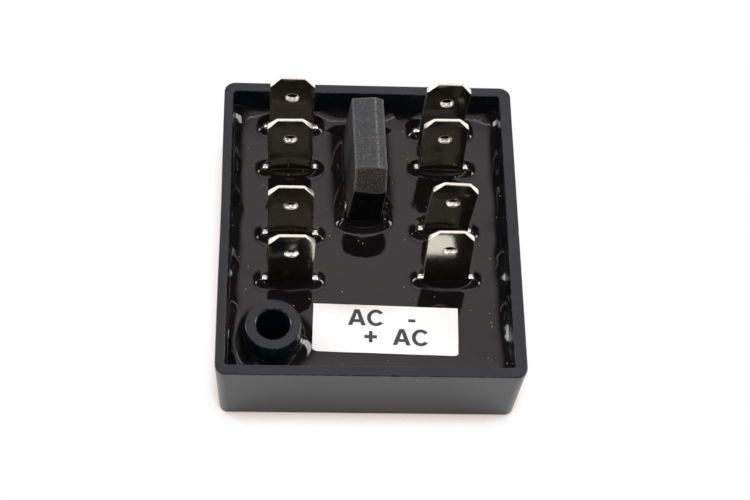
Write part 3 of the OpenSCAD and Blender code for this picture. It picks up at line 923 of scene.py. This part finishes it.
def bend(bm, place, steps=10):
    """A quarter turn of the sheet from the foot up into a blade."""
    rows = []
    for k in range(steps + 1):
        a = math.pi / 2 * k / steps
        row = []
        for r in (FOOT_LIFT - BLADE_T, FOOT_LIFT):
            for x in (-SHOULDER_W / 2, SHOULDER_W / 2):
                row.append(bm.verts.new(place @ Vector((x, r * math.sin(a), -r * math.cos(a)))))
        rows.append(row)
    for a, c in zip(rows, rows[1:]):
        for i, j in ((0, 1), (1, 3), (3, 2), (2, 0)):
            bm.faces.new((a[i], a[j], c[j], c[i]))
    bm.faces.new([rows[0][i] for i in (0, 2, 3, 1)])
    bm.faces.new([rows[-1][i] for i in (0, 1, 3, 2)])


def terminal(name):
    """One folded sheet: a foot with two legs, two bends and two blades."""
    cx, cy, pitch, rear, front = TERMINALS[name]
    bm = bmesh.new()
    foot = pitch - BLADE_T - 2 * (FOOT_LIFT - BLADE_T)
    root = Matrix.Translation((cx, cy, BOARD_TOP))
    slab(bm, (-SHOULDER_W / 2, -foot / 2, 0), (SHOULDER_W / 2, foot / 2, BLADE_T), root)
    leg_x = SHOULDER_W / 2 - BLADE_T / 2
    leg_low = box_mm("terminal_" + name)[0][2] - BOARD_TOP
    for side, (lean, tilt, turn) in ((1, rear), (-1, front)):
        up = Matrix.Translation((0, side * foot / 2, FOOT_LIFT))
        bend(bm, root @ up @ Matrix.Diagonal((1, side, 1, 1)))
        place = root @ Matrix.Translation((0, side * pitch / 2, FOOT_LIFT))
        for angle, axis in ((turn, "Z"), (tilt, "Y"), (-lean, "X")):
            place = place @ Matrix.Rotation(math.radians(angle), 4, axis)
        blade(bm, place)
        x = side * leg_x
        slab(bm, (x - BLADE_T / 2, -1, leg_low), (x + BLADE_T / 2, 1, BLADE_T / 2), root)
    bmesh.ops.recalc_face_normals(bm, faces=bm.faces)
    bmesh.ops.scale(bm, vec=(MM, MM, MM), verts=bm.verts)
    obj = from_bmesh("terminal_" + name + "_sheet", bm, [TIN, CUT_EDGE_PAINTED_BRIGHT])
    soft_flats(obj, 50)
    dress(obj, "terminal_" + name)


# ---------------------------------------------------------------- bridge

SEAM_W = 0.13
# The angle, in radians, at which an edge counts as fully worn
WORN_TURN = 0.25


def store(obj, name, values):
    """Keeps one number per vertex for the material."""
    attribute = obj.data.attributes.new(name, "FLOAT", "POINT")
    attribute.data.foreach_set("value", values.astype(np.float32))


def mark_edges(obj):
    """Stores a wear mask on the vertices: how much the surface turns outwards there."""
    bm = bmesh.new()
    bm.from_mesh(obj.data)
    turn = np.zeros(len(bm.verts))
    for e in bm.edges:
        if len(e.link_faces) == 2:
            for v in e.verts:
                turn[v.index] = max(turn[v.index], e.calc_face_angle_signed(0))
    bm.free()
    store(obj, "edge", np.clip(turn / WORN_TURN, 0, 1))


def bridge():
    """The moulded body: the CAD solid's own outline, with worn edges and a parting line."""
    bm = bmesh.new()
    for v in frame["nodes"]["bridge_body"].data.vertices:
        bm.verts.new(v.co)
    bmesh.ops.remove_doubles(bm, verts=bm.verts, dist=1e-6)
    hull = bmesh.ops.convex_hull(bm, input=bm.verts)
    inner = [g for g in hull["geom_interior"] if isinstance(g, bmesh.types.BMVert)]
    bmesh.ops.delete(bm, geom=inner, context="VERTS")
    bmesh.ops.dissolve_limit(bm, angle_limit=0.01, verts=bm.verts, edges=bm.edges)
    parting = [e.verts[:] for e in bm.edges if 0.02 < e.calc_face_angle(0) < 0.4]
    lines = [[np.array(v.co) / MM for v in pair] for pair in parting]
    bmesh.ops.bevel(
        bm,
        geom=bm.edges[:] + bm.verts[:],
        offset=BRIDGE_EDGE_R * MM,
        segments=3,
        profile=0.5,
        affect="EDGES",
        clamp_overlap=True,
    )
    obj = from_bmesh("bridge_moulding", bm)
    m = obj.modifiers.new("even", "REMESH")
    m.mode, m.voxel_size, m.adaptivity = "VOXEL", BRIDGE_VOXEL * MM, 0
    mesh = applied(obj).data
    mesh.materials.clear()
    mesh.materials.append(EPOXY)
    mesh.shade_smooth()
    co = np.zeros(len(mesh.vertices) * 3)
    mesh.vertices.foreach_get("co", co)
    co = co.reshape(-1, 3) / MM
    seam = np.zeros(len(co))
    for p, q in lines:
        t = np.clip((co - p) @ (q - p) / ((q - p) @ (q - p)), 0, 1)
        distance = np.linalg.norm(co - p - t[:, None] * (q - p), axis=1)
        seam = np.maximum(seam, np.exp(-((distance / SEAM_W) ** 2)))
    store(obj, "seam", seam)
    mark_edges(obj)
    dress(obj, "bridge_body")


# ---------------------------------------------------------------- label

LABEL_T = 0.09
LABEL_LIFT = 0.1
LABEL_CLIMB = 0.5
LABEL_CORNER_R = 0.5
LABEL_STEPS = (110, 44)
INK_LOW, INK_HIGH = 0.004, 0.018
LETTER_H = 2.5


def on_label(u, v):
    """Places in the part from places along and across the label, from its middle."""
    centre = (LABEL_LOW + LABEL_HIGH) / 2
    a = math.radians(LABEL_TURN)
    return centre[0] + u * math.cos(a) - v * math.sin(a), centre[1] + u * math.sin(a) + v * math.cos(a)


def label_top(x, y):
    """The film follows the resin, but doesn't climb far with it."""
    return np.minimum(resin_height(x, y), RESIN_Z + LABEL_CLIMB) + LABEL_LIFT


def label():
    """The white film, with its two front corners rounded."""
    w, d = LABEL_SIZE[0] / 2, LABEL_SIZE[1] / 2
    nx, ny = LABEL_STEPS
    across = 2 * np.arange(nx + 1) / nx - 1
    v = -d + 2 * d * np.arange(ny + 1) / ny
    low = np.maximum(0.0, LABEL_CORNER_R - (v + d))
    narrow = LABEL_CORNER_R - np.sqrt(np.maximum(LABEL_CORNER_R**2 - low * low, 0))
    x, y = on_label((w - narrow)[:, None] * across, v[:, None] + 0 * across)
    top = np.stack([x, y, label_top(x, y)], 2).reshape(-1, 3)
    verts = np.vstack([top, top - (0, 0, LABEL_T)])
    row, layer = nx + 1, (nx + 1) * (ny + 1)
    faces = []
    for j in range(ny):
        for i in range(nx):
            a = j * row + i
            faces.append((a, a + 1, a + row + 1, a + row))
            faces.append((layer + a, layer + a + row, layer + a + row + 1, layer + a + 1))
    loop = [i for i in range(row)] + [j * row + nx for j in range(1, ny + 1)]
    loop += [ny * row + i for i in range(nx - 1, -1, -1)] + [j * row for j in range(ny - 1, 0, -1)]
    for p, q in zip(loop, loop[1:] + loop[:1]):
        faces.append((p, layer + p, layer + q, q))
    obj = blank("label_film", verts, faces, [FILM])
    tidy_normals(obj)
    soft_flats(obj, 40)
    dress(obj, "label")


def letter_a(left, base, h):
    """Outline and counter of an upright capital A, as wide as it is high."""
    s = 0.24 * h
    right, mid = left + h, left + h / 2
    outer = [
        (left, base),
        (left + s, base),
        (left + s + 0.075 * h, base + 0.2 * h),
        (right - s - 0.075 * h, base + 0.2 * h),
        (right - s, base),
        (right, base),
        (mid + 0.58 * s, base + h),
        (mid - 0.58 * s, base + h),
    ]
    inner = [
        (left + s + 0.14 * h, base + 0.38 * h),
        (right - s - 0.14 * h, base + 0.38 * h),
        (mid, base + 0.78 * h),
    ]
    return [outer, inner]


def letter_c(left, base, h):
    """Outline of a capital C: a heavy ring open to the right."""
    rx, ry, s = 0.5 * h, 0.52 * h, 0.22 * h
    cx, cy = left + rx, base + h / 2
    outside = np.radians(np.linspace(38, 322, 29))
    inside = np.radians(np.linspace(318, 42, 25))
    outline = [(cx + rx * math.cos(a), cy + ry * math.sin(a)) for a in outside]
    outline += [(cx + (rx - s) * math.cos(a), cy + (ry - 0.85 * s) * math.sin(a)) for a in inside]
    return [outline]


def minus(cx, cy, w, h):
    x, y = w / 2, h / 2
    return [[(cx - x, cy - y), (cx + x, cy - y), (cx + x, cy + y), (cx - x, cy + y)]]


def plus(cx, cy, size, stroke):
    a, b = size / 2, stroke / 2
    arms = [(-b, -a), (b, -a), (b, -b), (a, -b), (a, b), (b, b)]
    arms += [(-x, -y) for x, y in arms]
    return [[(cx + x, cy + y) for x, y in arms]]


def print_marks():
    """The generic marks beside the terminals: AC twice, minus and plus."""
    left, top = -LABEL_SIZE[0] / 2, LABEL_SIZE[1] / 2
    first_line, second_line = top - 3.2, top - 6.05
    shapes = [
        letter_a(left + 4.85, first_line, LETTER_H),
        letter_c(left + 7.5, first_line, LETTER_H),
        letter_a(left + 11.1, second_line, LETTER_H),
        letter_c(left + 13.75, second_line, LETTER_H),
        minus(left + 13.75, top - 2.2, 1.0, 0.45),
        plus(left + 8.05, top - 4.9, 1.75, 0.5),
    ]
    bm = bmesh.new()
    for outlines in shapes:
        edges = []
        for points in outlines:
            edges += loop_edges(bm, [bm.verts.new((x, y, 0)) for x, y in points])
        bmesh.ops.triangle_fill(bm, use_beauty=True, use_dissolve=False, edges=edges)
    for _ in range(2):
        long = [e for e in bm.edges if e.calc_length() > 0.5]
        bmesh.ops.subdivide_edges(bm, edges=long, cuts=1)
        bmesh.ops.triangulate(bm, faces=bm.faces)
    for f in bm.faces:
        if f.normal.z < 0:
            f.normal_flip()
    made = bmesh.ops.extrude_face_region(bm, geom=bm.faces[:])["geom"]
    raised = {g for g in made if isinstance(g, bmesh.types.BMVert)}
    x, y = on_label(*np.array([v.co.xy for v in bm.verts], float).T)
    for v, at_x, at_y, film_z in zip(bm.verts, x, y, label_top(x, y)):
        v.co = Vector((at_x, at_y, film_z + (INK_HIGH if v in raised else INK_LOW))) * MM
    bmesh.ops.recalc_face_normals(bm, faces=bm.faces)
    in_order(bm)
    obj = from_bmesh("label_print", bm, [INK])
    obj.visible_glossy = False
    dress(obj, None)


# ---------------------------------------------------------------- build

tray()
resin()
for terminal_name in TERMINALS:
    terminal(terminal_name)
bridge()
label()
print_marks()
for node_names, material in (
    (["circuit_board"], BOARD),
    (["track_plus", "track_minus", "track_ac_left", "track_ac_right"], COPPER),
    (["solder_plus", "solder_minus", "solder_ac_left", "solder_ac_right"], SOLDER),
    (["lead_plus", "lead_ac_front", "lead_ac_rear", "lead_minus"], LEAD),
):
    for node_name in node_names:
        slots = frame["nodes"][node_name].data.materials
        for i in range(len(slots)):
            slots[i] = material


# ---------------------------------------------------------------- stage

STAGE_HALF = 1500
NEAR_SHADE, WIDE_SHADE = 0.0045, 0.014
WHITE = rgb(1.0, 1.0, 1.0)
# The photograph's view: degrees round, above and rolled, then metres and the lens in millimetres
AZIMUTH, ELEVATION, ROLL = -6.678, 60.295, 6.752
DISTANCE = 0.2308
AIM = Vector((0.000645, -0.004276, RIM_Z * MM))
SENSOR, LENS = 36, 79.70


def floor():
    """A white floor that glows for the camera and in mirrors, with the object's shadow painted into that
    glow, which mirrors see a little softer and wider.
    """
    n = Material("stage_floor")
    near = n.add("ShaderNodeAmbientOcclusion")
    near.inputs["Distance"].default_value = NEAR_SHADE
    near.samples = 12
    wide = n.add("ShaderNodeAmbientOcclusion")
    wide.inputs["Distance"].default_value = WIDE_SHADE
    wide.samples = 8
    near, wide = near.outputs["AO"], wide.outputs["AO"]
    path = n.add("ShaderNodeLightPath").outputs
    # Painted shadow: the glow turns warm grey near the object, from ambient occlusion; mirrors see a wider
    # painted shadow.
    painted_shadow = n.mix(n.span(near, 0.5, 0.69), rgb(0.62, 0.49, 0.43), WHITE)
    painted_shadow_in_mirrors = n.mix(n.span(wide, 0.42, 0.72), rgb(0.2, 0.14, 0.12), WHITE)
    tone = n.mix(path["Is Glossy Ray"], painted_shadow, painted_shadow_in_mirrors)
    # Painted shade: the glow falls to near black where the floor is deeply hidden, as under the bore.
    painted_light_level = n.math("MINIMUM", n.span(near, 0.12, 0.4), n.span(wide, 0.16, 0.26))
    glow = n.add("ShaderNodeEmission")
    n.link(glow.inputs["Color"], n.mix(painted_light_level, rgb(0.002, 0.002, 0.002), tone))
    matte = n.add("ShaderNodeBsdfDiffuse")
    n.link(matte.inputs["Color"], rgb(0.8, 0.8, 0.8))
    seen = n.math("MAXIMUM", path["Is Camera Ray"], path["Is Glossy Ray"])
    seen = n.math("MAXIMUM", seen, path["Is Transmission Ray"])
    both = n.add("ShaderNodeMixShader")
    n.link(both.inputs[0], seen)
    n.link(both.inputs[1], matte.outputs[0])
    n.link(both.inputs[2], glow.outputs[0])
    out = next(k for k in n.tree.nodes if k.type == "OUTPUT_MATERIAL")
    n.link(out.inputs["Surface"], both.outputs[0])
    n.tree.nodes.remove(n.bsdf)
    s = STAGE_HALF
    corners = [(-s, -s, 0), (s, -s, 0), (s, s, 0), (-s, s, 0)]
    blank("stage_floor", corners, [(0, 1, 2, 3)], [n.mat])


def world():
    """A bright screen behind and above the object, a white band near the horizon, a dim room."""
    w = bpy.data.worlds.new("studio")
    bpy.context.scene.world = w
    w.use_nodes = True
    n = Graph(w.node_tree)
    split = n.add("ShaderNodeSeparateXYZ")
    n.link(split.inputs[0], n.add("ShaderNodeTexCoord").outputs["Generated"])
    x, y, z = split.outputs

    def soft(*values):
        return n.span(*values, curve="SMOOTHSTEP")

    # x, y and z are the parts of a direction of length 1
    off_middle = n.math("ABSOLUTE", n.math("SUBTRACT", x, 0.055))
    screen = n.math("MULTIPLY", soft(y, 0.03, 0.1), soft(z, 0.12, 0.3))
    screen = n.math("MULTIPLY", screen, soft(off_middle, 0.08, 0.42, 1.15, 0.0))
    screen = n.math("MULTIPLY", screen, soft(z, 0.86, 0.93, 1.0, 0.75))
    band = soft(z, 0.32, 0.17, 0.0, 1.0)
    back = n.tree.nodes["Background"]
    n.link(back.inputs["Strength"], n.math("ADD", n.math("MAXIMUM", screen, band), 0.06))
    n.link(back.inputs["Color"], rgb(1.0, 0.93, 0.935))


def softbox(name, at, aim, size, power):
    data = bpy.data.lights.new(name, "AREA")
    data.shape, data.size, data.size_y = "RECTANGLE", size[0], size[1]
    data.energy = power
    obj = bpy.data.objects.new(name, data)
    bpy.context.scene.collection.objects.link(obj)
    obj.location = at
    obj.rotation_mode = "QUATERNION"
    obj.rotation_quaternion = (Vector(aim) - Vector(at)).to_track_quat("-Z", "Y")
    return obj


def camera():
    az, el, roll = (math.radians(v) for v in (AZIMUTH, ELEVATION, ROLL))
    back = Vector((math.sin(az) * math.cos(el), -math.cos(az) * math.cos(el), math.sin(el)))
    right = Vector((math.cos(az), math.sin(az), 0))
    up = back.cross(right)
    c, s = math.cos(roll), math.sin(roll)
    right, up = c * right + s * up, c * up - s * right
    data = bpy.data.cameras.new("camera")
    data.sensor_width, data.lens = SENSOR, LENS
    data.clip_start, data.clip_end = 0.01, 10
    obj = bpy.data.objects.new("camera", data)
    bpy.context.scene.collection.objects.link(obj)
    turn = Matrix((right, up, back)).transposed().to_4x4()
    obj.matrix_world = Matrix.Translation(AIM + back * DISTANCE) @ turn
    bpy.context.scene.camera = obj


floor()
world()
for side, name in ((-1, "softbox_left"), (1, "softbox_right")):
    softbox(name, (side * 0.32, 0.12, 0.24), (0, 0.12, 0.01), (0.08, 0.42), 0.9)
softbox("strip_behind", (0, 0.118, 0.49), (0, 0, 0.01), (0.26, 0.018), 0.035)
fill = softbox("fill_overhead", (0, -0.05, 0.5), (0, 0, 0), (0.6, 0.6), 2.0)
fill.visible_glossy = False
camera()
bpy.context.scene.view_settings.view_transform = "Standard"
